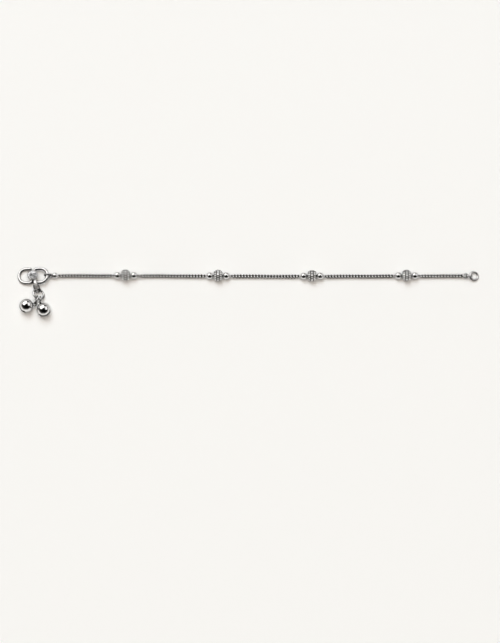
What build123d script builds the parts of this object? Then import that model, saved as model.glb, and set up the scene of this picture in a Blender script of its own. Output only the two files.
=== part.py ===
from build123d import *
from math import cos, pi, radians, sin, tan
import os

os.makedirs("parts", exist_ok=True)

# A silver payal anklet, unclasped and laid straight along X on a flat surface at z = 0.
# The hook, with its drop of two bells, is at the -X end, and the end ring at the +X end.
# Heights are above the surface. Sideways places are measured from the chain's line,
# towards +Y, and the function at() turns them into the model's own frame.

# ---- driving dimensions, mm ----
overall_length = 265.9
clearance = 0.02

# hook: round wire bent to an S whose two loops lie side by side
hook_wire = 1.7
hook_half_length = 8.3
hook_half_width = 4.15
hook_loop_radius = 4.1
hook_corner_radius = 1.75
hook_stroke_lean = 0.75
hook_open_tip = -1.76
hook_closed_tip = 1.05
hook_tilt = 7.5
hook_side = -0.15

# button soldered on the hook's middle stroke
button_half_length = 3.15
button_half_width = 2.9
button_foot_length = 2.8
button_foot_width = 2.45
button_sink = 0.3
button_wall = 1.15
bevel_height = 0.55
face_half_length = 2.75
face_half_width = 2.1
groove_width = 0.3
groove_depth = 0.3
dome_half_length = 2.35
dome_half_width = 1.7
dome_shrink = 0.55
dome_rise = 0.42

# drop: bail ring, link, ring, and a jump ring for each bell
bail_thickness = 0.7
bail_width = 1.5
bail_round = 0.2
bail_diameter = 3.79
link_wire = 0.8
link_width = 3.03
drop_ring_wire = 1.1
drop_ring_diameter = 6.35
bell_ring_wire = 0.8

# bells
bell_diameter = 7.9
bell_wall = 0.45
bell_eye_wire = 0.8
bell_eye_diameter = 2.2
slit_width = 0.9
slit_half_angle = 52.0
slit_hole_diameter = 1.8
pellet_diameter = 2.4

# chain and its ends
chain_diameter = 2.5
thread_diameter = 1.6
taper_length = 1.2
cap_diameter = 3.6
cap_loop_wire = 0.8
cap_loop_diameter = 2.5
cap_socket_depth = 0.9
start_link_wire = 0.8
eye_wire = 0.75
eye_diameter = 2.5
end_link_wire = 0.7
end_link_diameter = 3.24
end_ring_wire = 1.1
end_ring_diameter = 4.65
end_ring_lean = 15.0

# bead stations along the chain
station_places = (-70.6, -17.4, 36.7, 91.3)
large_bead_diameter = 6.5
large_bead_length = 5.0
large_bead_bore = 2.8
small_bead_diameter = 4.2
small_bead_bore = 2.0
small_bead_offset = 4.75

# ---- worked out from the driving dimensions ----
hook_rise = hook_half_length * sin(radians(hook_tilt)) + hook_wire / 2
hook_x = (
    -overall_length / 2
    + hook_wire / 2
    + hook_half_length * cos(radians(hook_tilt))
)
right_bell_side = -21.1
hook_top_side = hook_side + hook_half_width + hook_wire / 2
drop_end_side = right_bell_side - bell_diameter / 2
chain_line_y = -(hook_top_side + drop_end_side) / 2
end_ring_reach = end_ring_diameter / 2 * cos(radians(end_ring_lean)) + end_ring_wire / 2
end_ring_x = overall_length / 2 - end_ring_reach


def at(x, side, height):
    """A point given by its place along X, its side of the chain's line and its height."""
    return Vector(x, chain_line_y + side, height)


def ring_plane(centre, normal):
    """A plane through centre, square to normal."""
    axis = Vector(*normal).normalized()
    level = axis.cross(Vector(0, 0, 1))
    across = level.normalized() if level.length > 1e-6 else Vector(1, 0, 0)
    return Plane(origin=centre, x_dir=across, z_dir=axis)


def tilted(lean_x, lean_y):
    """The direction that a flat ring's axis takes when it leans by these angles, in degrees."""
    return (
        sin(radians(lean_x)),
        sin(radians(lean_y)) * cos(radians(lean_x)),
        cos(radians(lean_y)) * cos(radians(lean_x)),
    )


def rolled_plane(centre, along, roll):
    """A plane through centre whose X runs along a direction, turned about it by roll degrees."""
    length_axis = Vector(*along).normalized()
    level = length_axis.cross(Vector(0, 0, 1)).normalized()
    upright = level.cross(length_axis)
    width_axis = level * cos(radians(roll)) + upright * sin(radians(roll))
    return Plane(origin=centre, x_dir=length_axis, z_dir=length_axis.cross(width_axis))


def round_ring(name, centre, normal, diameter, wire):
    """A closed ring of round wire; diameter is that of the wire's centre line."""
    with BuildPart() as ring:
        with Locations(Location(ring_plane(centre, normal))):
            Torus(diameter / 2, wire / 2)
    ring.part.label = name
    return ring


def section_plane(centre, normal):
    """A plane for a ring's section: X runs outwards from centre, Y along the ring's axis."""
    outwards = ring_plane(centre, normal).x_dir
    return Plane(origin=centre, x_dir=outwards, z_dir=outwards.cross(Vector(*normal)))


def save(part, name):
    """Writes one finished sub-part to its own STEP file."""
    part.label = name
    export_step(part, f"parts/{name}.step")


# ---- hook with its button ----
hook_centre = at(hook_x, hook_side, hook_rise)
hook_slope = Plane(
    origin=hook_centre,
    x_dir=(cos(radians(hook_tilt)), 0, sin(radians(hook_tilt))),
    z_dir=(-sin(radians(hook_tilt)), 0, cos(radians(hook_tilt))),
)
button_seat = hook_wire / 2 - button_sink
bevel_seat = button_seat + button_sink + button_wall
face_height = bevel_seat + bevel_height

with BuildPart() as hook:
    with BuildLine(hook_slope) as hook_path:
        FilletPolyline(
            (hook_open_tip, hook_half_width),
            (-hook_half_length, hook_half_width),
            (-hook_half_length, -hook_half_width),
            (-hook_stroke_lean, -hook_half_width),
            (hook_stroke_lean, hook_half_width),
            (hook_half_length, hook_half_width),
            (hook_half_length, -hook_half_width),
            (hook_closed_tip, -hook_half_width),
            radius=[
                hook_loop_radius,
                hook_loop_radius,
                hook_corner_radius,
                hook_corner_radius,
                hook_loop_radius,
                hook_loop_radius,
            ],
        )
    with BuildSketch(Plane(origin=hook_path.line @ 0, z_dir=hook_path.line % 0)):
        Circle(hook_wire / 2)
    sweep(path=hook_path.line)
    # rounded tips
    with Locations(
        Plane(origin=hook_path.line @ 0, z_dir=(hook_path.line % 0) * -1).location,
        Plane(origin=hook_path.line @ 1, z_dir=hook_path.line % 1).location,
    ):
        Sphere(hook_wire / 2, arc_size1=0)
    # the button's wall, then its bevel, then the groove round its face
    with BuildSketch(hook_slope.offset(button_seat)):
        Ellipse(button_foot_length, button_foot_width)
    with BuildSketch(hook_slope.offset(bevel_seat)):
        Ellipse(button_half_length, button_half_width)
    loft()
    with BuildSketch(hook_slope.offset(bevel_seat)):
        Ellipse(button_half_length, button_half_width)
    with BuildSketch(hook_slope.offset(face_height)):
        Ellipse(face_half_length, face_half_width)
    loft()
    with BuildSketch(hook_slope.offset(face_height - groove_depth)):
        Ellipse(face_half_length - 0.1, face_half_width - 0.1)
    extrude(amount=groove_depth, mode=Mode.SUBTRACT)
    # the raised middle of the face
    with BuildSketch(hook_slope.offset(face_height - groove_depth)):
        Ellipse(dome_half_length, dome_half_width)
    with BuildSketch(hook_slope.offset(face_height)):
        Ellipse(dome_half_length, dome_half_width)
    loft()
    with BuildSketch(hook_slope.offset(face_height)):
        Ellipse(dome_half_length, dome_half_width)
    with BuildSketch(hook_slope.offset(face_height + dome_rise)):
        Ellipse(dome_half_length * dome_shrink, dome_half_width * dome_shrink)
    loft()
save(hook.part, "hook")

# ---- drop: bail ring, link and ring ----
bail_lean = 1.4
bail_yaw = 7.8
bail_centre = at(hook_x + 1.41, -4.80, 2.36)
bail_axis = (
    cos(radians(bail_yaw)) * cos(radians(bail_lean)),
    sin(radians(bail_yaw)) * cos(radians(bail_lean)),
    sin(radians(bail_lean)),
)
with BuildPart() as bail_ring:
    with BuildSketch(section_plane(bail_centre, bail_axis)):
        with Locations((bail_diameter / 2, 0)):
            RectangleRounded(bail_thickness, bail_width, bail_round)
    revolve(axis=Axis(bail_centre, bail_axis))
save(bail_ring.part, "bail_ring")

drop_ring_axis = tilted(27.0, 18.4)
drop_ring_centre = at(hook_x + 3.26, -11.25, 2.26)
drop_ring = round_ring(
    "drop_ring", drop_ring_centre, drop_ring_axis, drop_ring_diameter, drop_ring_wire
)
save(drop_ring.part, "drop_ring")

link_top = at(hook_x + 1.41, -5.41, 2.96)
link_foot = at(hook_x + 3.04, -9.80, 1.33)
link_run = link_foot - link_top
link_roll = -23.0
link_plane = rolled_plane((link_top + link_foot) * 0.5, tuple(link_run), link_roll)
link_straight = link_run.length / 2 - link_width / 2
with BuildPart() as drop_link:
    with BuildLine(link_plane) as link_line:
        Line((-link_straight, link_width / 2), (link_straight, link_width / 2))
        ThreePointArc(
            (link_straight, link_width / 2),
            (link_straight + link_width / 2, 0),
            (link_straight, -link_width / 2),
        )
        Line((link_straight, -link_width / 2), (-link_straight, -link_width / 2))
        ThreePointArc(
            (-link_straight, -link_width / 2),
            (-link_straight - link_width / 2, 0),
            (-link_straight, link_width / 2),
        )
    with BuildSketch(Plane(origin=link_line.line @ 0, z_dir=link_line.line % 0)):
        Circle(link_wire / 2)
    sweep(path=link_line.line)
save(drop_link.part, "drop_link")


# ---- bells: thin hollow balls with a slit opposite the eye, and a loose pellet ----
def bell(name, centre, eye_direction, eye_roll):
    """A hollow ball with a soldered eye on one side and a slit across the other."""
    outer = bell_diameter / 2
    eye_reach = outer + bell_eye_diameter / 2 + 0.05
    axis = Vector(*eye_direction).normalized()
    eye_frame = rolled_plane(centre + axis * eye_reach, tuple(axis), eye_roll)
    slit_frame = rolled_plane(centre, tuple(axis * -1), 0)
    slit_start = outer * cos(radians(slit_half_angle))
    slit_span = 2 * outer * sin(radians(slit_half_angle))
    with BuildPart() as body:
        # the shell is a half ring turned about the line from the slit to the eye
        with BuildSketch(slit_frame):
            Circle(outer)
            Circle(outer - bell_wall, mode=Mode.SUBTRACT)
            with Locations((0, -outer)):
                Rectangle(2 * outer + 1, 2 * outer, mode=Mode.SUBTRACT)
        revolve(axis=Axis(centre, axis))
        with Locations(eye_frame.location):
            Torus(bell_eye_diameter / 2, bell_eye_wire / 2)
        with Locations(slit_frame.location * Location((slit_start + outer / 2, 0, 0))):
            Box(outer, slit_span, slit_width, mode=Mode.SUBTRACT)
        for side in (-1, 1):
            hole_axis = slit_frame.x_dir * cos(radians(slit_half_angle))
            hole_axis += slit_frame.y_dir * (side * sin(radians(slit_half_angle)))
            with Locations(Plane(origin=centre + hole_axis * outer, z_dir=hole_axis).location):
                Cylinder(slit_hole_diameter / 2, 2 * bell_wall + 0.6, mode=Mode.SUBTRACT)
    save(body.part, name)


def pellet(name, bell_centre):
    """A small ball lying loose on the bottom of a bell."""
    drop = bell_diameter / 2 - bell_wall - pellet_diameter / 2 - clearance
    with BuildPart() as ball:
        with Locations(bell_centre - Vector(0, 0, drop)):
            Sphere(pellet_diameter / 2)
    save(ball.part, name)


bell_height = bell_diameter / 2 + clearance
left_bell_centre = at(hook_x - 3.60, -18.70, bell_height)
right_bell_centre = at(hook_x + 6.30, right_bell_side, bell_height)
bell("bell_left", left_bell_centre, (0.943, 0.258, -0.212), 164.0)
bell("bell_right", right_bell_centre, (-0.410, 0.876, -0.252), 11.9)
pellet("pellet_left", left_bell_centre)
pellet("pellet_right", right_bell_centre)

bell_ring_left = round_ring(
    "bell_ring_left", at(hook_x + 2.0, -15.07, 3.37), (0.924, -0.246, -0.294), 4.55, bell_ring_wire
)
save(bell_ring_left.part, "bell_ring_left")
bell_ring_right = round_ring(
    "bell_ring_right", at(hook_x + 4.28, -14.82, 2.57), (1.0, 0.022, -0.016), 3.9, bell_ring_wire
)
save(bell_ring_right.part, "bell_ring_right")

# ---- start link and end cap ----
start_link = round_ring(
    "start_link", at(hook_x + 8.30, 0.08, 2.57), (0.0, -0.998, 0.06), 3.5, start_link_wire
)
save(start_link.part, "start_link")

cap_x = hook_x + 12.50
cap_centre = at(cap_x, 0, cap_diameter / 2 + clearance)
cap_loop_reach = cap_diameter / 2 + cap_loop_diameter / 2 - 0.2
socket_centre = at(cap_x + cap_socket_depth, 0, cap_centre.Z)
chain_fall = (4.9, 0, -0.54)
with BuildPart() as end_cap:
    with Locations(cap_centre):
        Sphere(cap_diameter / 2)
    with Locations(cap_centre - Vector(cap_loop_reach, 0, 0.08)):
        Torus(cap_loop_diameter / 2, cap_loop_wire / 2)
    # socket that the chain's end is fixed in
    with BuildSketch(Plane(origin=socket_centre, z_dir=chain_fall)):
        Circle(chain_diameter / 2 + 2 * clearance)
    extrude(amount=cap_diameter, mode=Mode.SUBTRACT)
save(end_cap.part, "end_cap")

# ---- chain: one tube along its true route, thinner where it passes through the beads ----
eye_x = end_ring_x - 4.93
chain_start = socket_centre + Vector(*chain_fall).normalized() * (2 * clearance)
eye_height = 1.72
chain_end = at(eye_x - eye_diameter / 2 - 0.1, 0, eye_height)
low = chain_diameter / 2
hump_half = 3.3
hump_height = 2.80
foot_half = 10.4

# the flat stretches between the stations: places along X and sideways drifts
stretch_before_first = ((-105.50, 0.0), (-97.3, -0.03), (-89.2, -0.15))
stretch_before_second = ((-49.6, -0.10), (-38.6, -0.28))
stretch_before_third = ((4.1, -0.36), (15.2, -0.52))
stretch_before_fourth = ((58.3, -0.34), (69.6, -0.44))
stretch_at_end = ((111.5, -0.12), (118.6, -0.14))
station_sides = (-0.13, -0.34, -0.48, -0.27)


def flat_points(places):
    """Route points on the surface, from places along X and sideways drifts."""
    return [at(x, side, low) for x, side in places]


def station_points(x, side):
    """Route points that lift the chain's middle to pass through one station's beads."""
    return [
        at(x - foot_half, side, low),
        at(x - hump_half, side, hump_height),
        at(x + hump_half, side, hump_height),
        at(x + foot_half, side, low),
    ]


route = [chain_start]
stretches = (
    stretch_before_first,
    stretch_before_second,
    stretch_before_third,
    stretch_before_fourth,
)
for stretch, station_x, station_side in zip(stretches, station_places, station_sides):
    route += flat_points(stretch)
    route += station_points(station_x, station_side)
route += flat_points(stretch_at_end)
route.append(chain_end)


def route_radii(points):
    """For each inner point, 0.45 of its shorter run over the tangent of half its turn."""
    radii = []
    for before, here, after in zip(points, points[1:], points[2:]):
        run_in = here - before
        run_out = after - here
        turn = radians(run_in.get_angle(run_out))
        radii.append(0.45 * min(run_in.length, run_out.length) / tan(turn / 2))
    return radii


radii = route_radii(route)
print("chain radii, mm:", [round(radius, 1) for radius in radii])
print("chain runs, mm:", [round((b - a).length, 1) for a, b in zip(route, route[1:])])

with BuildLine() as chain_line:
    FilletPolyline(*route, radius=radii)
chain_path = chain_line.wire()


def place_on_chain(x):
    """The chain's place, from 0 at its start to 1 at its end, where it passes x."""
    lower, upper = 0.0, 1.0
    for _ in range(40):
        middle = (lower + upper) / 2
        if (chain_path @ middle).X < x:
            lower = middle
        else:
            upper = middle
    return (lower + upper) / 2


# full width between the stations, coned down at each station
full_from = 6.9
full_to = 10.6
full_starts = [chain_start.X] + [x + full_from + taper_length for x in station_places]
full_stops = [x - full_to - taper_length for x in station_places] + [chain_end.X]
with BuildPart() as chain:
    # the thread that the beads sit on
    with BuildSketch(Plane(origin=chain_path @ 0, z_dir=chain_path % 0)):
        Circle(thread_diameter / 2)
    sweep(path=chain_path)

    for start_x, stop_x in zip(full_starts, full_stops):
        piece = chain_path.trim(place_on_chain(start_x), place_on_chain(stop_x))
        with BuildSketch(Plane(origin=piece @ 0, z_dir=piece % 0)):
            Circle(chain_diameter / 2)
        sweep(path=piece)
        cones = []
        if start_x > chain_start.X:
            cones.append(Plane(origin=piece @ 0, z_dir=(piece % 0) * -1))
        if stop_x < chain_end.X:
            cones.append(Plane(origin=piece @ 1, z_dir=piece % 1))
        for cone_plane in cones:
            with Locations(cone_plane.offset(-0.1).location):
                Cone(
                    chain_diameter / 2 - 0.05,
                    thread_diameter / 2 + 0.05,
                    taper_length,
                    align=(Align.CENTER, Align.CENTER, Align.MIN),
                )

    # flat eye soldered to the chain's end
    with Locations(at(eye_x, 0, eye_height)):
        Torus(eye_diameter / 2, eye_wire / 2)
save(chain.part, "chain")
full_length = sum(full_stops) - sum(full_starts)
bare_volume = pi / 4 * (
    thread_diameter**2 * (chain_path.length - full_length) + chain_diameter**2 * full_length
)
print("chain volume", round(chain.part.volume, 1), "from section and length", round(bare_volume, 1))

# ---- beads: one large and two small at each station ----
large_number = 0
small_number = 0
for station_x, station_side in zip(station_places, station_sides):
    large_number += 1
    large_bead_centre = at(station_x, station_side, large_bead_diameter / 2 + clearance)
    with BuildPart() as large_bead:
        # half the bead's section, clear of its bore, turned about the chain's direction
        with BuildSketch(Plane(origin=large_bead_centre)):
            Circle(large_bead_diameter / 2)
            Rectangle(large_bead_length, large_bead_diameter, mode=Mode.INTERSECT)
            with Locations((0, large_bead_bore / 2 - large_bead_diameter / 2)):
                Rectangle(2 * large_bead_length, large_bead_diameter, mode=Mode.SUBTRACT)
        revolve(axis=Axis(large_bead_centre, (1, 0, 0)))
    save(large_bead.part, f"large_bead_{large_number}")
    for end in (-1, 1):
        small_number += 1
        thread_place = place_on_chain(station_x + end * small_bead_offset)
        thread_plane = Plane(origin=chain_path @ thread_place, z_dir=chain_path % thread_place)
        with BuildPart() as small_bead:
            with Locations(thread_plane.location):
                Sphere(small_bead_diameter / 2)
                Cylinder(small_bead_bore / 2, 6, mode=Mode.SUBTRACT)
        save(small_bead.part, f"small_bead_{small_number}")

# ---- end link and end ring ----
end_link = round_ring(
    "end_link",
    at(end_ring_x - 2.88, -0.21, 1.89),
    (0.026, 0.912, 0.408),
    end_link_diameter,
    end_link_wire,
)
save(end_link.part, "end_link")

end_ring_height = end_ring_diameter / 2 * sin(radians(end_ring_lean)) + end_ring_wire / 2
end_ring = round_ring(
    "end_ring",
    at(end_ring_x, 0, end_ring_height + clearance / 2),
    (sin(radians(end_ring_lean)), 0, cos(radians(end_ring_lean))),
    end_ring_diameter,
    end_ring_wire,
)
save(end_ring.part, "end_ring")
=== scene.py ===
import math
import random

import bpy
import numpy as np
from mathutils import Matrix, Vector


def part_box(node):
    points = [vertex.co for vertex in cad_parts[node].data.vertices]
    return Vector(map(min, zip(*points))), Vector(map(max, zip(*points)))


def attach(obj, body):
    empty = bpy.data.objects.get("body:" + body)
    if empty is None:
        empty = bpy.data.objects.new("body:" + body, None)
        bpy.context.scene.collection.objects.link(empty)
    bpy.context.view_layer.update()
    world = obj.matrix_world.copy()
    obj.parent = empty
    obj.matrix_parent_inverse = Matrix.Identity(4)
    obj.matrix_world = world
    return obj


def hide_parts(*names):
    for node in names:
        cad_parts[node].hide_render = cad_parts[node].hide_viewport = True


# The looks of a silver payal anklet, laid open along +X on a pale surface.
# Sizes below are in millimetres, and mesh data is turned into metres as it is made.
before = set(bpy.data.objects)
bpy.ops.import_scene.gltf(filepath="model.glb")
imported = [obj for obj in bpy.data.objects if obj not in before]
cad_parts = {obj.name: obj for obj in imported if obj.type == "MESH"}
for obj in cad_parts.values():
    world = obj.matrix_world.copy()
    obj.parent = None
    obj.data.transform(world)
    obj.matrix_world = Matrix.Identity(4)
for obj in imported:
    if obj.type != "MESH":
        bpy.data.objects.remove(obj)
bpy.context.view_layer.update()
MM = 0.001

# ---- places and sizes shared with the CAD model, mm ----
LINE_Y = 10.1  # the chain's line
HOOK_X = -123.871
HOOK_TILT = math.radians(7.5)
HOOK_HEIGHT = 1.933
RING_X = 130.154
STATIONS = ((-70.6, -0.13), (-17.4, -0.34), (36.7, -0.48), (91.3, -0.27))
CHAIN_LOW = 1.25
CHAIN_HUMP = 2.80
LARGE_BEAD = 6.5
SMALL_BEAD = 4.2


def at(x, side, height):
    """A point given by its place along X, its side of the chain's line and its height."""
    return np.array((x, LINE_Y + side, height))


def unit(vector):
    """The vector at a length of 1."""
    vector = np.asarray(vector, float)
    return vector / np.linalg.norm(vector)


def ring_axes(normal):
    """Two directions that span the plane square to normal."""
    normal = unit(normal)
    across = np.cross(normal, (0.0, 0.0, 1.0))
    if np.linalg.norm(across) < 1e-6:
        across = np.array((1.0, 0.0, 0.0))
    across = unit(across)
    return across, np.cross(normal, across)


def spokes(across, up, steps):
    """Directions all the way round, in the plane of two given ones."""
    angles = np.linspace(0, 2 * math.pi, steps, endpoint=False)
    return np.cos(angles)[:, None] * across + np.sin(angles)[:, None] * up


# ---- mesh making ----
def make_piece(name, parts, material, smooth_angle=40.0):
    """One object from a list of (vertices in mm, faces) pairs."""
    vertices = []
    faces = []
    for part_vertices, part_faces in parts:
        start = len(vertices)
        vertices.extend((np.asarray(part_vertices) * MM).tolist())
        faces.extend([tuple(int(i) + start for i in face) for face in part_faces])
    mesh = bpy.data.meshes.new(name)
    mesh.from_pydata(vertices, [], faces)
    mesh.materials.append(material)
    mesh.update()
    if smooth_angle:
        mesh.shade_smooth()
        mesh.set_sharp_from_angle(angle=math.radians(smooth_angle))
    piece = bpy.data.objects.new(name, mesh)
    bpy.context.scene.collection.objects.link(piece)
    return piece


def stands_for(piece, slot, *nodes):
    """The piece rides with the anklet's body and is shown in place of these CAD nodes."""
    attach(piece, "root")
    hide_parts(*nodes)


def path_frames(points, closed):
    """Tangents and side directions along a path, turning as little as they can."""
    count = len(points)
    if closed:
        tangents = np.roll(points, -1, 0) - np.roll(points, 1, 0)
    else:
        tangents = np.gradient(points, axis=0)
    tangents /= np.linalg.norm(tangents, axis=1)[:, None]
    upright = abs(tangents[0][2]) > 0.9
    side = unit(np.cross(tangents[0], (1.0, 0.0, 0.0) if upright else (0.0, 0.0, 1.0)))
    sides = [side]
    for tangent in tangents[1:]:
        side = unit(side - tangent * side.dot(tangent))
        sides.append(side)
    sides = np.array(sides)
    if closed:
        # the leftover twist is spread along the whole loop
        last = unit(side - tangents[0] * side.dot(tangents[0]))
        twist = math.atan2(np.cross(last, sides[0]).dot(tangents[0]), last.dot(sides[0]))
        turns = twist * np.arange(count) / count
        others = np.cross(tangents, sides)
        sides = sides * np.cos(turns)[:, None] + others * np.sin(turns)[:, None]
    return tangents, sides, np.cross(tangents, sides)


def grid_faces(rows, columns, close_rows):
    """Quads between neighbouring rows of vertices, each row closed on itself."""
    faces = []
    for row in range(rows if close_rows else rows - 1):
        for column in range(columns):
            a = row * columns + column
            b = row * columns + (column + 1) % columns
            c = ((row + 1) % rows) * columns + (column + 1) % columns
            d = ((row + 1) % rows) * columns + column
            faces.append((a, b, c, d))
    return faces


def tube(points, radius, around, closed=False):
    """A round tube along a path. radius is one number or one for each point."""
    points = np.asarray(points, float)
    radii = np.broadcast_to(np.asarray(radius, float), len(points))
    _, sides, others = path_frames(points, closed)
    angles = np.linspace(0, 2 * math.pi, around, endpoint=False)[None, :, None]
    rim = sides[:, None] * np.cos(angles) + others[:, None] * np.sin(angles)
    vertices = (points[:, None] + rim * radii[:, None, None]).reshape(-1, 3)
    faces = grid_faces(len(points), around, closed)
    if not closed:
        faces.append(tuple(range(around))[::-1])
        faces.append(tuple(range((len(points) - 1) * around, len(points) * around)))
    return vertices, faces


def ring(centre, normal, diameter, wire, steps=96, around=24):
    """A closed ring of round wire; diameter is that of the wire's centre line."""
    points = centre + diameter / 2 * spokes(*ring_axes(normal), steps)
    return tube(points, wire / 2, around, closed=True)


def turned(profile, origin, axis, steps):
    """A closed profile of (place along the axis, radius) pairs, turned about the axis."""
    axis = unit(axis)
    around = spokes(*ring_axes(axis), steps)
    rows = [origin + axis * along + around * radius for along, radius in profile]
    return np.concatenate(rows), grid_faces(len(profile), steps, close_rows=True)


def arc_points(centre, radius, start, stop, steps):
    """Points on an arc in a plane, angles in degrees."""
    angles = np.radians(np.linspace(start, stop, steps))
    return [(centre[0] + radius * math.cos(a), centre[1] + radius * math.sin(a)) for a in angles]


# ---- materials ----
NOISE_LOW, NOISE_HIGH = 0.35, 0.6  # the part of the noise's range that the mottling uses
SCRATCH_SCALE = 6  # scratches are this many times finer than the mottling
SCRATCH_DEPTH = 0.0001  # m
EDGE_TINT = (0.05, 0.05, 0.05, 1.0)  # of reflections that only graze the metal


def node(tree, kind, **values):
    """A new shader node, with properties or inputs set by name."""
    made = tree.nodes.new(kind)
    for key, value in values.items():
        if hasattr(made, key):
            setattr(made, key, value)
        else:
            made.inputs[key].default_value = value
    return made


def metal(
    name, colour, shade, rough, rough_shade, grain=900.0, bump=0.02, sides=None, metallic=1.0
):
    """Silver whose colour and polish vary a little, with fine scratches as bump.

    sides is (colour, low, high): painted shade, a darker colour put where the surface turns away
    from the top, in full below the low value of the normal's height and none above the high one.
    """
    material = bpy.data.materials.new(name)
    material.use_nodes = True
    tree = material.node_tree
    shader = tree.nodes["Principled BSDF"]
    shader.inputs["Metallic"].default_value = metallic
    shader.inputs["Specular Tint"].default_value = EDGE_TINT
    place = node(tree, "ShaderNodeTexCoord")
    clouds = node(tree, "ShaderNodeTexNoise", Scale=grain, Detail=3.0)
    tree.links.new(place.outputs["Object"], clouds.inputs["Vector"])
    spread = node(tree, "ShaderNodeMapRange")
    spread.inputs["From Min"].default_value = NOISE_LOW
    spread.inputs["From Max"].default_value = NOISE_HIGH
    tree.links.new(clouds.outputs["Fac"], spread.inputs["Value"])
    tint = node(tree, "ShaderNodeMix", data_type="RGBA")
    tint.inputs["A"].default_value = (*shade, 1.0)
    tint.inputs["B"].default_value = (*colour, 1.0)
    tree.links.new(spread.outputs["Result"], tint.inputs["Factor"])
    surface = tint.outputs["Result"]
    # painted shade: the colour goes over to a darker one where the surface's normal turns away
    # from the top
    if sides:
        painted_shade_colour, low, high = sides
        axes = node(tree, "ShaderNodeSeparateXYZ")
        tree.links.new(place.outputs["Normal"], axes.inputs["Vector"])
        painted_shade_mask = node(tree, "ShaderNodeMapRange", interpolation_type="SMOOTHSTEP")
        painted_shade_mask.inputs["From Min"].default_value = low
        painted_shade_mask.inputs["From Max"].default_value = high
        tree.links.new(axes.outputs["Z"], painted_shade_mask.inputs["Value"])
        surface_with_painted_shade = node(tree, "ShaderNodeMix", data_type="RGBA")
        surface_with_painted_shade.inputs["A"].default_value = (*painted_shade_colour, 1.0)
        tree.links.new(surface, surface_with_painted_shade.inputs["B"])
        tree.links.new(painted_shade_mask.outputs["Result"], surface_with_painted_shade.inputs["Factor"])
        surface = surface_with_painted_shade.outputs["Result"]
    tree.links.new(surface, shader.inputs["Base Color"])
    polish = node(tree, "ShaderNodeMapRange")
    polish.inputs["To Min"].default_value = rough_shade
    polish.inputs["To Max"].default_value = rough
    tree.links.new(spread.outputs["Result"], polish.inputs["Value"])
    tree.links.new(polish.outputs["Result"], shader.inputs["Roughness"])
    scratches = node(tree, "ShaderNodeTexNoise", Scale=grain * SCRATCH_SCALE, Detail=2.0)
    tree.links.new(place.outputs["Object"], scratches.inputs["Vector"])
    relief = node(tree, "ShaderNodeBump", Strength=bump, Distance=SCRATCH_DEPTH)
    tree.links.new(scratches.outputs["Fac"], relief.inputs["Height"])
    tree.links.new(relief.outputs["Normal"], shader.inputs["Normal"])
    return material


# painted shade: darker colours put on the sides and undersides of the hook, button, bail, rings
# and chain
WIRE_PAINTED_SHADE = (0.24, 0.235, 0.23)
RING_PAINTED_SHADE = (0.07, 0.067, 0.063)
WOVEN_PAINTED_SHADE = (0.06, 0.057, 0.053)
BALL_SILVER = metal("silver_balls", (0.80, 0.795, 0.79), (0.72, 0.715, 0.71), 0.03, 0.06)
POLISHED = metal(
    "silver_polished",
    (0.74, 0.735, 0.73),
    (0.66, 0.655, 0.65),
    rough=0.08,
    rough_shade=0.14,
    sides=(WIRE_PAINTED_SHADE, 0.45, 0.75),
)
RING_SILVER = metal(
    "silver_ring_wire",
    (0.74, 0.735, 0.73),
    (0.64, 0.635, 0.63),
    rough=0.18,
    rough_shade=0.26,
    sides=(RING_PAINTED_SHADE, 0.50, 0.84),
)
BAIL_SILVER = metal(
    "silver_bail",
    (0.95, 0.945, 0.94),
    (0.86, 0.855, 0.85),
    rough=0.38,
    rough_shade=0.46,
    sides=(WIRE_PAINTED_SHADE, 0.05, 0.3),
    metallic=0.6,
)
CUT = metal(
    "silver_cut",
    (0.95, 0.945, 0.94),
    (0.84, 0.835, 0.83),
    rough=0.30,
    rough_shade=0.38,
    grain=1500.0,
    bump=0.15,
    metallic=0.6,
)
WOVEN = metal(
    "silver_woven",
    (0.96, 0.955, 0.95),
    (0.88, 0.875, 0.87),
    rough=0.30,
    rough_shade=0.36,
    grain=1200.0,
    bump=0.05,
    sides=(WOVEN_PAINTED_SHADE, 0.4, 0.75),
    metallic=0.45,
)
# painted shade: near-black colour for the chain's core rings, which fills the gaps between the
# loops
CORE_PAINTED_SHADE = metal(
    "chain_core_painted_shade",
    (0.05, 0.047, 0.043),
    (0.02, 0.019, 0.018),
    rough=0.45,
    rough_shade=0.55,
    grain=1200.0,
    bump=0.05,
)
# painted shade: darker colour for the grooves and notches of the cut beads
NOTCH_PAINTED_SHADE = metal(
    "silver_notch_painted_shade",
    (0.12, 0.117, 0.112),
    (0.08, 0.078, 0.075),
    rough=0.45,
    rough_shade=0.55,
    grain=1200.0,
    bump=0.05,
)
FACE = metal(
    "silver_face",
    (0.54, 0.54, 0.55),
    (0.36, 0.36, 0.37),
    rough=0.36,
    rough_shade=0.46,
    grain=1100.0,
    bump=0.3,
)
STEEL = metal("pellet_steel", (0.45, 0.45, 0.45), (0.36, 0.36, 0.36), 0.35, 0.5)

# ---- hook ----
HOOK_CENTRE = at(HOOK_X, -0.15, HOOK_HEIGHT)
HOOK_U = np.array((math.cos(HOOK_TILT), 0.0, math.sin(HOOK_TILT)))
HOOK_V = np.array((0.0, 1.0, 0.0))
HOOK_W = np.array((-math.sin(HOOK_TILT), 0.0, math.cos(HOOK_TILT)))
HOOK_WIRE = 1.7
WIRE_STEP = 0.22  # between points on the wire's bends
TIP_STEPS = 8
TIP_END = 0.02  # radius that a rounded tip closes to
HOOK_CORNERS = (
    # place along, side, corner radius
    (-1.76, 4.15, 0.0),
    (-8.3, 4.15, 4.1),
    (-8.3, -4.15, 4.1),
    (-0.75, -4.15, 1.75),
    (0.75, 4.15, 1.75),
    (8.3, 4.15, 4.1),
    (8.3, -4.15, 4.1),
    (1.05, -4.15, 0.0),
)


def on_hook(points):
    """Points given in the hook's own plane: along, side and height above it."""
    points = np.asarray(points, float)
    return HOOK_CENTRE + points[:, :1] * HOOK_U + points[:, 1:2] * HOOK_V + points[:, 2:3] * HOOK_W


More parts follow.
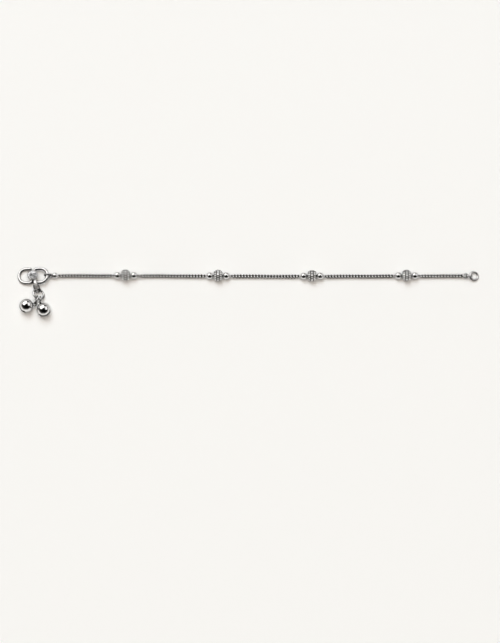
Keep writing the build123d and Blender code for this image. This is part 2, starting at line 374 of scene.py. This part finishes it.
def bent_wire(corners, step):
    """The line of a bent wire: straight runs joined by arcs, with points about a step apart."""
    line = [np.array(corners[0][:2])]
    for before, here, after in zip(corners, corners[1:], corners[2:]):
        corner = np.array(here[:2])
        towards_before = unit(np.array(before[:2]) - corner)
        towards_after = unit(np.array(after[:2]) - corner)
        half = math.acos(towards_before.dot(towards_after)) / 2
        middle = corner + unit(towards_before + towards_after) * here[2] / math.sin(half)
        first = corner + towards_before * here[2] / math.tan(half) - middle
        last = corner + towards_after * here[2] / math.tan(half) - middle
        sweep = math.pi - 2 * half
        steps = max(4, round(here[2] * sweep / step))
        for k in range(steps + 1):
            part = k / steps
            swung = math.sin((1 - part) * sweep) * first + math.sin(part * sweep) * last
            line.append(middle + swung / math.sin(sweep))
    line.append(np.array(corners[-1][:2]))
    dense = [line[0]]
    for start, stop in zip(line, line[1:]):
        pieces = max(1, math.ceil(np.linalg.norm(stop - start) / (2 * step)))
        dense += [start + (stop - start) * k / pieces for k in range(1, pieces + 1)]
    return np.array(dense)


flat_line = bent_wire(HOOK_CORNERS, WIRE_STEP)
half_wire = HOOK_WIRE / 2
start_way = unit(flat_line[0] - flat_line[1])
stop_way = unit(flat_line[-1] - flat_line[-2])
tip_turns = np.linspace(0, 1, TIP_STEPS + 1)[:-1] * math.pi / 2
start_tip = [flat_line[0] + start_way * half_wire * math.cos(turn) for turn in tip_turns]
stop_tip = [flat_line[-1] + stop_way * half_wire * math.sin(turn) for turn in tip_turns[1:]]
stop_tip.append(flat_line[-1] + stop_way * half_wire)
hook_line = np.array(start_tip + list(flat_line) + stop_tip)
hook_radii = [half_wire * math.sin(turn) + TIP_END for turn in tip_turns]
hook_radii += [half_wire] * len(flat_line)
hook_radii += [half_wire * math.cos(turn) + TIP_END for turn in tip_turns[1:]] + [TIP_END]
hook_points = on_hook(np.c_[hook_line, np.zeros(len(hook_line))])
hook = make_piece("hook_wire", [tube(hook_points, hook_radii, 28)], POLISHED)
stands_for(hook, "silver_polished", "hook")

# ---- button on the hook ----
BUTTON_SEAT = 0.55
BUTTON_TOP = 2.0
BUTTON_FACE = 2.55
BUTTON_FLOOR = BUTTON_FACE - 0.28
BUTTON_PROFILE = (
    # half length, half width, height above the hook's plane
    (2.75, 2.40, BUTTON_SEAT),
    (2.82, 2.47, BUTTON_SEAT + 0.03),
    (2.98, 2.66, 1.20),
    (3.12, 2.86, 1.86),
    (3.15, 2.90, BUTTON_TOP - 0.04),
    (3.14, 2.89, BUTTON_TOP + 0.04),
    (3.11, 2.85, BUTTON_TOP + 0.10),
    (2.94, 2.62, BUTTON_TOP + 0.38),
    (2.90, 2.57, BUTTON_TOP + 0.44),
    (2.84, 2.50, BUTTON_TOP + 0.46),
    (2.78, 2.43, BUTTON_TOP + 0.44),
    (2.74, 2.39, BUTTON_TOP + 0.36),
    (2.71, 2.30, BUTTON_FLOOR),
    (2.20, 1.80, BUTTON_FLOOR),
)


def ellipse_rows(profile, steps):
    """Rings of points on ellipses in the hook's frame."""
    angles = np.linspace(0, 2 * math.pi, steps, endpoint=False)
    rows = [
        np.c_[length * np.cos(angles), width * np.sin(angles), np.full(steps, height)]
        for length, width, height in profile
    ]
    return on_hook(np.concatenate(rows))


BUTTON_STEPS = 144
button_vertices = ellipse_rows(BUTTON_PROFILE, BUTTON_STEPS)
button_faces = grid_faces(len(BUTTON_PROFILE), BUTTON_STEPS, close_rows=False)
button_faces.append(tuple(range(BUTTON_STEPS))[::-1])
last_row = (len(BUTTON_PROFILE) - 1) * BUTTON_STEPS
button_faces.append(tuple(range(last_row, last_row + BUTTON_STEPS)))
button = make_piece("button_cup", [(button_vertices, button_faces)], POLISHED)
stands_for(button, "silver_polished", "hook")


# the pattern pressed in the button's face, mm
FLOWER_X, FLOWER_Y = -0.85, 0.02
PETALS = 7
PETAL_REACH, PETAL_WIDTH, PETAL_HEIGHT = 0.62, 0.30, 0.13
PETAL_GAP = 0.35  # height between petals, as a part of theirs
HEART_WIDTH, HEART_HEIGHT = 0.17, 0.10
HEART_GROOVE, HEART_GROOVE_WIDTH, HEART_GROOVE_DEPTH = 0.28, 0.08, 0.07
LEAF_X, LEAF_Y = 0.95, 0.62
LEAF_COS, LEAF_SIN = 0.92, 0.39
LEAF_LENGTH, LEAF_WIDTH, LEAF_HEIGHT = 0.75, 0.30, 0.11
VEIN_LENGTH, VEIN_WIDTH, VEIN_DEPTH = 0.7, 0.06, 0.05
STEM_START, STEM_STOP, STEM_WIDTH, STEM_HEIGHT = -0.1, 1.9, 0.10, 0.05


def swell(distance, width, power=2):
    """1 at no distance, falling smoothly past the width; a higher power falls more sharply."""
    return math.exp(-((distance / width) ** power))


def face_relief(x, y):
    """Height of the pressed pattern on the button's face: a flower and two leaves."""
    dx, dy = x - FLOWER_X, y - FLOWER_Y
    reach = math.hypot(dx, dy)
    lobes = math.cos(PETALS / 2 * math.atan2(dy, dx)) ** 2
    petals = PETAL_HEIGHT * swell(reach - PETAL_REACH, PETAL_WIDTH)
    petals *= PETAL_GAP + (1 - PETAL_GAP) * lobes
    heart = HEART_HEIGHT * swell(reach, HEART_WIDTH)
    heart -= HEART_GROOVE_DEPTH * swell(reach - HEART_GROOVE, HEART_GROOVE_WIDTH)
    leaves = 0.0
    for side in (-1, 1):
        lx, ly = x - LEAF_X, y - side * LEAF_Y
        along = lx * LEAF_COS + side * ly * LEAF_SIN
        across = -side * lx * LEAF_SIN + ly * LEAF_COS
        leaves += LEAF_HEIGHT * swell(along, LEAF_LENGTH, 4) * swell(across, LEAF_WIDTH)
        leaves -= VEIN_DEPTH * swell(along, VEIN_LENGTH, 4) * swell(across, VEIN_WIDTH)
    stem = STEM_HEIGHT * swell(y, STEM_WIDTH) if STEM_START < x < STEM_STOP else 0.0
    return petals + heart + leaves + stem


FACE_LENGTH, FACE_WIDTH, FACE_DOME = 2.70, 2.30, 0.16
FACE_SINK = 0.26  # the face's rim lies this far under BUTTON_FACE
FACE_LIP, FACE_LIP_PART = 0.24, 0.06  # its rounded rim rises this far
FACE_CENTRE = 0.015  # the rows stop at this part of the face's size
FACE_ROWS = 44
RELIEF = 1.9  # the pattern is deepened, to show from a distance
RELIEF_FADE = 0.25
face_points = []
for row in range(FACE_ROWS):
    part = 1 - row / (FACE_ROWS - 1) * (1 - FACE_CENTRE)
    edge = 1 - part**2
    dome = BUTTON_FACE - FACE_SINK + FACE_LIP * min(1.0, edge / FACE_LIP_PART) ** 0.5
    dome += FACE_DOME * edge
    for k in range(BUTTON_STEPS):
        angle = 2 * math.pi * k / BUTTON_STEPS
        x = FACE_LENGTH * part * math.cos(angle)
        y = FACE_WIDTH * part * math.sin(angle)
        height = dome + RELIEF * face_relief(x, y) * min(1.0, edge / RELIEF_FADE)
        face_points.append((x, y, height))
face_faces = grid_faces(FACE_ROWS, BUTTON_STEPS, close_rows=False)
face_faces.append(tuple(range((FACE_ROWS - 1) * BUTTON_STEPS, FACE_ROWS * BUTTON_STEPS)))
face = make_piece("button_face", [(on_hook(face_points), face_faces)], FACE)
stands_for(face, "silver_polished", "hook")

# ---- drop: bail, link, ring and jump rings ----
BAIL_YAW, BAIL_LEAN = math.radians(7.8), math.radians(1.4)
BAIL_AXIS = (
    math.cos(BAIL_YAW) * math.cos(BAIL_LEAN),
    math.sin(BAIL_YAW) * math.cos(BAIL_LEAN),
    math.sin(BAIL_LEAN),
)
BAIL_CENTRE = at(HOOK_X + 1.41, -4.80, 2.36)
BAIL_ROUND = 0.245
BAIL_CORNERS = (
    # centre of a rounded corner: place along the axis, radius; and the angle it starts at
    (0.5, 2.0, 0),
    (-0.5, 2.0, 90),
    (-0.5, 1.79, 180),
    (0.5, 1.79, 270),
)
bail_profile = []
for along, radius, start in BAIL_CORNERS:
    bail_profile += arc_points((along, radius), BAIL_ROUND, start, start + 90, 7)
bail = make_piece("bail", [turned(bail_profile, BAIL_CENTRE, BAIL_AXIS, 128)], BAIL_SILVER)
stands_for(bail, "silver_polished", "bail_ring")

LINK_TOP = at(HOOK_X + 1.41, -5.41, 2.96)
LINK_FOOT = at(HOOK_X + 3.04, -9.80, 1.33)
LINK_WIDTH = 3.03
LINK_WIRE = 0.8
LINK_ROLL = math.radians(-23.0)
link_along = unit(LINK_FOOT - LINK_TOP)
link_level = unit(np.cross(link_along, (0.0, 0.0, 1.0)))
link_top = np.cross(link_level, link_along)
link_across = link_level * math.cos(LINK_ROLL) + link_top * math.sin(LINK_ROLL)
link_straight = np.linalg.norm(LINK_FOOT - LINK_TOP) / 2 - LINK_WIDTH / 2
link_flat = arc_points((link_straight, 0), LINK_WIDTH / 2, -90, 90, 25)
link_flat += arc_points((-link_straight, 0), LINK_WIDTH / 2, 90, 270, 25)
link_middle = (LINK_TOP + LINK_FOOT) / 2
link_line = np.array([link_middle + link_along * a + link_across * b for a, b in link_flat])
link_tube = tube(link_line, LINK_WIRE / 2, 20, closed=True)
drop_link = make_piece("drop_oval_link", [link_tube], RING_SILVER)
stands_for(drop_link, "silver_polished", "drop_link")


def leaning(lean_x, lean_y):
    """The direction that a flat ring's axis takes when it leans by these angles, in degrees."""
    lean_x, lean_y = math.radians(lean_x), math.radians(lean_y)
    level = math.cos(lean_x)
    return (math.sin(lean_x), math.sin(lean_y) * level, math.cos(lean_y) * level)


END_LEAN = 15.0
END_DIAMETER, END_WIRE = 4.65, 1.1
END_GAP = 0.01  # under the end ring
end_height = END_DIAMETER / 2 * math.sin(math.radians(END_LEAN)) + END_WIRE / 2 + END_GAP
drop_centre = at(HOOK_X + 3.26, -11.25, 2.26)
left_centre = at(HOOK_X + 2.0, -15.07, 3.37)
right_centre = at(HOOK_X + 4.28, -14.82, 2.57)
start_centre = at(HOOK_X + 8.30, 0.08, 2.57)
last_centre = at(RING_X - 2.88, -0.21, 1.89)
end_centre = at(RING_X, 0, end_height)
end_axis = leaning(END_LEAN, 0)
RINGS = (
    # piece, CAD node, centre, axis, diameter, wire
    ("drop_round_ring", "drop_ring", drop_centre, leaning(27.0, 18.4), 6.35, 1.1),
    ("jump_ring_left", "bell_ring_left", left_centre, (0.924, -0.246, -0.294), 4.55, 0.8),
    ("jump_ring_right", "bell_ring_right", right_centre, (1.0, 0.022, -0.016), 3.9, 0.8),
    ("first_link", "start_link", start_centre, (0.0, -0.998, 0.06), 3.5, 0.8),
    ("last_link", "end_link", last_centre, (0.026, 0.912, 0.408), 3.24, 0.7),
    ("end_round_ring", "end_ring", end_centre, end_axis, END_DIAMETER, END_WIRE),
)
for piece_name, node_name, centre, axis, diameter, wire in RINGS:
    round_ring = make_piece(piece_name, [ring(centre, axis, diameter, wire)], RING_SILVER)
    stands_for(round_ring, "silver_polished", node_name)

# ---- end cap: a ball with a loop on its left and a socket for the chain on its right ----
CAP_CENTRE = at(HOOK_X + 12.5, 0, 1.82)
CAP_RADIUS = 1.8
CAP_LOOP = 2.5
CAP_LOOP_WIRE = 0.8
CAP_LOOP_SHIFT = np.array((2.85, 0, 0.08))
SOCKET_RADIUS = 1.29
SOCKET_FLOOR = 0.9
CHAIN_FALL = unit((4.9, 0.0, -0.54))
socket_edge = math.sqrt(CAP_RADIUS**2 - SOCKET_RADIUS**2)
edge_angle = math.degrees(math.atan2(SOCKET_RADIUS, socket_edge))
cap_profile = arc_points((0, 0), CAP_RADIUS, 179.5, edge_angle, 40)
cap_profile += [
    (SOCKET_FLOOR + 0.05, SOCKET_RADIUS - 0.02),
    (SOCKET_FLOOR, SOCKET_RADIUS - 0.08),
    (SOCKET_FLOOR, 0.05),
]
cap_parts = [turned(cap_profile, CAP_CENTRE, CHAIN_FALL, 72)]
cap_parts.append(ring(CAP_CENTRE - CAP_LOOP_SHIFT, (0, 0, 1), CAP_LOOP, CAP_LOOP_WIRE, 72, 20))
cap = make_piece("end_cap_ball", cap_parts, BALL_SILVER)
stands_for(cap, "silver_polished", "end_cap")


# ---- beads ----
SMALL_BORE = 2.0
BORE_ROUND = 2.0  # degrees of the ball's outline that round the bore's edge
BORE_BEVEL = 0.12
SMALL_LEAN = 0.165  # radians that a small bead follows the chain down


def round_bead(centre, axis, diameter, bore):
    """A polished ball with a hole whose edge is slightly rounded."""
    edge = math.degrees(math.asin(bore / diameter)) + BORE_ROUND
    profile = arc_points((0, 0), diameter / 2, 180 - edge, edge, 48)
    inner = diameter / 2 * math.cos(math.radians(edge)) - BORE_BEVEL
    profile += [(inner, bore / 2), (-inner, bore / 2)]
    return turned(profile, centre, axis, 72)


FACETS = 14
FACET_POINTS = 3
BANDS = (-2.44, -0.82, 0.82, 2.44)
BAND_ROWS = 4
END_ROWS = 2
GROOVE = 0.21  # half the width of the grooves between bands
GROOVE_FLOOR = 0.02  # half the width of their floor
GROOVE_DEPTH = 0.24
NOTCH = 0.2  # half the width of the notches between facets, as a part of a facet
NOTCH_DEPTH = 0.24
FACET_SINK = 0.07
CUT_HALF_LENGTH = 2.5
CUT_BEVEL = 0.12
CUT_BORE = 1.42
CUT_GAP = 0.02  # under a cut bead


def cut_bead(centre, turn):
    """A diamond-cut bead: bands of flat facets on a cut-off ball, between grooves and notches."""
    rows = []

    def add_row(along, radius, offset, notch):
        """Points round the bead; offset is in halves of a facet, and notch is a depth."""
        row = []
        for facet in range(FACETS):
            lift = facet_lifts[facet] if notch else 0.0
            for part, drop in ((0.0, notch), (NOTCH, -lift), (1 - NOTCH, lift)):
                angle = turn + (facet + part + offset / 2) * 2 * math.pi / FACETS
                reach = radius - drop
                row.append((along, reach * math.cos(angle), reach * math.sin(angle)))
        rows.append(row)

    def ball_radius(along):
        return math.sqrt((LARGE_BEAD / 2) ** 2 - along**2)

    end_radius = ball_radius(CUT_HALF_LENGTH) - CUT_BEVEL
    add_row(-CUT_HALF_LENGTH, CUT_BORE, 0, 0.0)
    add_row(-CUT_HALF_LENGTH, end_radius, 0, 0.0)
    for number, (left, right) in enumerate(zip(BANDS, BANDS[1:])):
        offset = number % 2
        facet_lifts = [rng.uniform(-0.12, 0.03) for _ in range(FACETS)]
        start, stop = left + GROOVE, right - GROOVE
        add_row(left + GROOVE_FLOOR, ball_radius(left) - GROOVE_DEPTH, offset, 0.0)
        add_row(start, ball_radius(start) - FACET_SINK, offset, NOTCH_DEPTH)
        add_row(stop, ball_radius(stop) - FACET_SINK, offset, NOTCH_DEPTH)
        add_row(right - GROOVE_FLOOR, ball_radius(right) - GROOVE_DEPTH, offset, 0.0)
    add_row(CUT_HALF_LENGTH, end_radius, 1, 0.0)
    add_row(CUT_HALF_LENGTH, CUT_BORE, 1, 0.0)
    vertices = centre + np.concatenate(rows)
    return vertices, grid_faces(len(rows), FACET_POINTS * FACETS, close_rows=True)


def paint_notch_shade(piece):
    """The grooves and notches between a cut bead's facets get painted shade, a darker material."""
    piece.data.materials.append(NOTCH_PAINTED_SHADE)
    last_row = END_ROWS + BAND_ROWS * (len(BANDS) - 1)
    for polygon in piece.data.polygons:
        row, column = divmod(polygon.index, FACET_POINTS * FACETS)
        on_facet = (row - END_ROWS) % BAND_ROWS == 1 and column % FACET_POINTS == 1
        if END_ROWS <= row < last_row and not on_facet:
            polygon.material_index = 1


rng = random.Random(7)
small_number = 0
for number, (x, side) in enumerate(STATIONS, 1):
    centre = at(x, side, LARGE_BEAD / 2 + CUT_GAP)
    bead = cut_bead(centre, rng.uniform(0, 1))
    large = make_piece(f"cut_bead_{number}", [bead], CUT, 12.0)
    paint_notch_shade(large)
    stands_for(large, "silver_cut", f"large_bead_{number}")
    for end in (-1, 1):
        small_number += 1
        low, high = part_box(f"small_bead_{small_number}")
        middle = np.array((low + high) / 2) / MM
        axis = (math.cos(SMALL_LEAN), 0, -end * math.sin(SMALL_LEAN))
        bead = round_bead(middle, axis, SMALL_BEAD, SMALL_BORE)
        small = make_piece(f"round_bead_{small_number}", [bead], BALL_SILVER)
        stands_for(small, "silver_polished", f"small_bead_{small_number}")

# ---- chain ----
# the route of the CAD model's tube, with its low points moved up to 0.26 mm to the back,
# to follow the photograph
CHAIN_START = (-110.431, 0.0, 1.816)
CHAIN_END = (123.874, 0.0, 1.72)
FOOT = 10.4  # from a station to the foot of its rise
FOOT_SIDE = 0.22
HUMP = 3.3  # from a station to the ends of its level top
FLATS = (
    # places along X and sideways drifts between the stations
    ((-105.5, 0.2), (-97.3, 0.2), (-89.2, 0.1)),
    ((-49.6, 0.13), (-38.6, -0.04)),
    ((4.1, -0.12), (15.2, -0.26)),
    ((58.3, -0.10), (69.6, -0.20)),
    ((111.5, 0.10), (118.6, 0.08)),
)
CHAIN_ROUTE = [CHAIN_START]
CHAIN_ROUTE += [(x, side, CHAIN_LOW) for x, side in FLATS[0]]
for (x, side), flats in zip(STATIONS, FLATS[1:]):
    CHAIN_ROUTE += [
        (x - FOOT, side + FOOT_SIDE, CHAIN_LOW),
        (x - HUMP, side, CHAIN_HUMP),
        (x + HUMP, side, CHAIN_HUMP),
        (x + FOOT, side + FOOT_SIDE, CHAIN_LOW),
    ]
    CHAIN_ROUTE += [(flat_x, flat_side, CHAIN_LOW) for flat_x, flat_side in flats]
CHAIN_ROUTE.append(CHAIN_END)

route_curve = bpy.data.curves.new("chain_route", "CURVE")
route_curve.dimensions = "3D"
route_curve.resolution_u = 16
spline = route_curve.splines.new("NURBS")
spline.points.add(len(CHAIN_ROUTE) - 1)
for point, place in zip(spline.points, CHAIN_ROUTE):
    point.co = (*(at(*place) * MM), 1.0)
spline.order_u = 3
spline.use_endpoint_u = True
route_object = bpy.data.objects.new("chain_route", route_curve)
bpy.context.scene.collection.objects.link(route_object)
bpy.context.view_layer.update()
route_mesh = bpy.data.meshes.new_from_object(route_object)
route_points = np.array([v.co for v in route_mesh.vertices]) / MM
bpy.data.objects.remove(route_object)
route_lengths = np.r_[0, np.cumsum(np.linalg.norm(np.diff(route_points, axis=0), axis=1))]


def on_route(length):
    """The point on the chain's line at a length from its start."""
    return np.array([np.interp(length, route_lengths, route_points[:, k]) for k in range(3)])


# one link: two upright oval loops side by side, swept back to a V, over two small rings coloured
# near black as painted shade in the gaps
LINK_PITCH = 1.75
LOOP_SIDE = 0.58
LOOP_HALF_WIDTH = 0.34
LOOP_HALF_HEIGHT = 0.69
LOOP_WIRE = 0.78
LOOP_SWEEP = 1.0
LOOP_STEPS, LOOP_AROUND = 28, 12
CORE_RADIUS = 0.5
CORE_WIRE = 0.74
CORE_BEND = 0.4
CORE_SHIFTS = (0.35, 1.22)
CORE_STEPS, CORE_AROUND = 14, 8
CHAIN_ROLL = 0.13  # the chain lies with its top turned a little towards the front
ROLL_KEPT, ROLL_SPREAD = 0.85, 0.05  # how the turn wanders from link to link
FIRST_LINK = 0.3  # from the route's start
LINKS_MARGIN = 0.8  # of the route left without links
LINK_LOOK = 0.8  # each way along the route, to find a link's direction
CAP_WIDENS = (0.78, 1.2, -109.2)  # the chain's part width, the run over which it widens, and where
BEFORE_BEADS = (0.60, 3.2, 7.4)
AFTER_BEADS = (0.62, 1.4, 7.0)


def swept_loop(side):
    """An oval loop on one side of the chain's line, that stands up and leans back outwards."""
    angles = np.linspace(0, 2 * math.pi, LOOP_STEPS, endpoint=False)
    across = side * (LOOP_SIDE + LOOP_HALF_WIDTH * np.cos(angles))
    line = np.c_[LOOP_SWEEP * np.abs(across), across, LOOP_HALF_HEIGHT * np.sin(angles)]
    return tube(line, LOOP_WIRE / 2, LOOP_AROUND, closed=True)


def joined(parts):
    """One pair of vertices and faces from several."""
    vertices = np.concatenate([part[0] for part in parts])
    starts = np.cumsum([0] + [len(part[0]) for part in parts])
    faces = []
    for start, (_, part_faces) in zip(starts, parts):
        faces += [tuple(i + start for i in face) for face in part_faces]
    return vertices, faces


def core_ring(shift):
    """A small ring about the chain's line, bent back a little above and below."""
    angles = np.linspace(0, 2 * math.pi, CORE_STEPS, endpoint=False)
    across, up = np.sin(angles), np.cos(angles)
    line = np.c_[shift + CORE_BEND * np.abs(across), CORE_RADIUS * across, CORE_RADIUS * up]
    return tube(line, CORE_WIRE / 2, CORE_AROUND, closed=True)


outer_vertices, outer_faces = joined([swept_loop(side) for side in (-1, 1)])
core_vertices, core_faces = joined([core_ring(shift) for shift in CORE_SHIFTS])


def widened(place, least, run, start):
    """A part of the full width: the least one up to start, widening over the run after it."""
    return min(1.0, least + (1 - least) * max(0.0, (place - start) / run))


def chain_width(x):
    """The chain's width at a place along X, as a part of its full width."""
    widths = [widened(x, *CAP_WIDENS)]
    for station, _ in STATIONS:
        gap = x - station
        widths.append(widened(-gap, *BEFORE_BEADS) if gap < 0 else widened(gap, *AFTER_BEADS))
    return min(widths)


outer_parts = []
inner_parts = []
linked_length = route_lengths[-1] - LINKS_MARGIN
links = round(linked_length / LINK_PITCH)
pitch = linked_length / links
roll = 0.0
for k in range(links):
    length = FIRST_LINK + pitch * k
    here = on_route(length)
    along = unit(on_route(length + LINK_LOOK) - on_route(length - LINK_LOOK))
    level = unit(np.cross((0.0, 0.0, 1.0), along))
    up = np.cross(along, level)
    roll = ROLL_KEPT * roll + rng.gauss(0, ROLL_SPREAD)
    turn = CHAIN_ROLL + roll
    side = level * math.cos(turn) + up * math.sin(turn)
    top = up * math.cos(turn) - level * math.sin(turn)
    width = chain_width(here[0])
    for parts, shape, faces in (
        (outer_parts, outer_vertices, outer_faces),
        (inner_parts, core_vertices, core_faces),
    ):
        section = width * (shape[:, 1:2] * side + shape[:, 2:3] * top)
        parts.append((here + shape[:, :1] * along + section, faces))
chain = make_piece("chain_links", outer_parts, WOVEN, 0)
# the core rings carry painted shade in the gaps between the loops
chain_core = make_piece("chain_core", inner_parts, CORE_PAINTED_SHADE, 0)
for piece in (chain, chain_core):
    piece.data.shade_smooth()
    stands_for(piece, "silver_woven", "chain")
EYE_CENTRE = at(RING_X - 4.93, 0, 1.72)
EYE_DIAMETER, EYE_WIRE = 2.5, 0.75
eye_ring = ring(EYE_CENTRE, (0, 0, 1), EYE_DIAMETER, EYE_WIRE, 64, 18)
eye = make_piece("chain_eye", [eye_ring], RING_SILVER)
stands_for(eye, "silver_polished", "chain")

# ---- CAD nodes that stay ----
for kind, material in (("bell", BALL_SILVER), ("pellet", STEEL)):
    for side in ("left", "right"):
        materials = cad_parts[f"{kind}_{side}"].data.materials
        materials.clear()
        materials.append(material)

# ---- surface, light and camera ----
FLOOR_COLOUR = (0.965, 0.963, 0.955, 1.0)
FLOOR_REACH = 9  # m
FLOOR_CORNERS = ((-1, -1), (1, -1), (1, 1), (-1, 1))
floor_points = [(x * FLOOR_REACH, y * FLOOR_REACH, 0) for x, y in FLOOR_CORNERS]
floor_mesh = bpy.data.meshes.new("floor")
floor_mesh.from_pydata(floor_points, [], [(0, 1, 2, 3)])
paper = bpy.data.materials.new("paper")
paper.use_nodes = True
paper_shader = paper.node_tree.nodes["Principled BSDF"]
paper_shader.inputs["Base Color"].default_value = FLOOR_COLOUR
paper_shader.inputs["Roughness"].default_value = 0.9
paper_shader.inputs["Specular IOR Level"].default_value = 0.1
floor_mesh.materials.append(paper)
floor = bpy.data.objects.new("floor", floor_mesh)
bpy.context.scene.collection.objects.link(floor)

CAMERA_ELEVATION = math.radians(74.0)
CAMERA_AIM = Vector((1.035, -16.88, 0.0)) * MM
CAMERA_DISTANCE = 2.4
VIEW_HEIGHT = 369.7 * MM
camera_way = Vector((0, -math.cos(CAMERA_ELEVATION), math.sin(CAMERA_ELEVATION)))

# the room, as a world: dark, with a paler wall in front, a grey band low down all round,
# and a black patch high in front, about where the picture's camera stands
world = bpy.data.worlds.new("room")
bpy.context.scene.world = world
world.use_nodes = True
tree = world.node_tree
background = tree.nodes["Background"]
direction = node(tree, "ShaderNodeTexCoord").outputs["Generated"]


def towards(way, near, far):
    """1 within near degrees of a direction, falling to 0 at far degrees."""
    dot = node(tree, "ShaderNodeVectorMath", operation="DOT_PRODUCT")
    dot.inputs[1].default_value = Vector(way).normalized()
    tree.links.new(direction, dot.inputs[0])
    fade = node(tree, "ShaderNodeMapRange", interpolation_type="SMOOTHSTEP")
    fade.inputs["From Min"].default_value = math.cos(math.radians(far))
    fade.inputs["From Max"].default_value = math.cos(math.radians(near))
    tree.links.new(dot.outputs["Value"], fade.inputs["Value"])
    return fade.outputs["Result"]


def blend_colour(factor, first, second):
    """The first colour where the factor is 0 and the second where it is 1."""
    mix = node(tree, "ShaderNodeMix", data_type="RGBA")
    tree.links.new(factor, mix.inputs["Factor"])
    for socket, value in (("A", first), ("B", second)):
        if isinstance(value, tuple):
            mix.inputs[socket].default_value = (*value, 1.0)
        else:
            tree.links.new(value, mix.inputs[socket])
    return mix.outputs["Result"]


FRONT_WALL = (0.54, 0.52, 0.49)
ROOM = (0.025, 0.023, 0.021)
HORIZON = (0.50, 0.49, 0.47)
HIGH_PATCH = (0.003, 0.003, 0.003)
# each one's direction, and the degrees from it at which it starts to fade and has gone
FRONT_WALL_PLACE = ((0, -1, 0.0), 10, 24)
HORIZON_PLACE = ((0, 0, -1), 94, 106)
HIGH_PATCH_PLACE = ((0.08, -0.42, 0.90), 37, 46)
room = blend_colour(towards(*FRONT_WALL_PLACE), ROOM, FRONT_WALL)
room = blend_colour(towards(*HORIZON_PLACE), room, HORIZON)
room = blend_colour(towards(*HIGH_PATCH_PLACE), room, HIGH_PATCH)
tree.links.new(room, background.inputs["Color"])
background.inputs["Strength"].default_value = 1.0


def window(name, azimuth, elevation, distance, width, height, radiance, colour):
    """A rectangular soft light facing the anklet; azimuth is from +Y towards +X.

    Angles are in degrees, and lengths in metres.
    """
    light = bpy.data.lights.new(name, "AREA")
    light.shape = "RECTANGLE"
    light.size = width
    light.size_y = height
    light.energy = radiance * math.pi * width * height
    light.color = colour
    lamp = bpy.data.objects.new(name, light)
    bpy.context.scene.collection.objects.link(lamp)
    azimuth, elevation = math.radians(azimuth), math.radians(elevation)
    level = math.cos(elevation)
    way = Vector((math.sin(azimuth) * level, math.cos(azimuth) * level, math.sin(elevation)))
    lamp.location = way * distance
    lamp.rotation_mode = "QUATERNION"
    lamp.rotation_quaternion = (-way).to_track_quat("-Z", "Y")
    return lamp


reflected = (
    window("window_left", -36, 47, 2.0, 2.6, 1.9, 2.2, (1.0, 0.99, 0.97)),
    window("window_right", 66, 42, 2.0, 2.0, 1.6, 1.1, (1.0, 0.99, 0.98)),
)
for lamp in reflected:
    lamp.visible_diffuse = False
# the key and the fill make the short soft shadows, and polished silver doesn't show them
for lamp in (
    window("key_light", -20, 58, 10.0, 6.5, 6.5, 4.6, (0.90, 0.965, 1.0)),
    window("fill_light", 180, 84, 12.5, 13.0, 13.0, 2.1, (1.0, 0.92, 0.84)),
):
    lamp.visible_glossy = False

camera_data = bpy.data.cameras.new("camera")
camera_data.sensor_width = 36.0
camera_data.lens = 36.0 * CAMERA_DISTANCE / VIEW_HEIGHT
camera_data.clip_end = 20.0
camera = bpy.data.objects.new("camera", camera_data)
bpy.context.scene.collection.objects.link(camera)
camera.location = CAMERA_AIM + camera_way * CAMERA_DISTANCE
camera.rotation_mode = "QUATERNION"
camera.rotation_quaternion = (-camera_way).to_track_quat("-Z", "Y")
bpy.context.scene.camera = camera
bpy.context.scene.view_settings.view_transform = "Standard"
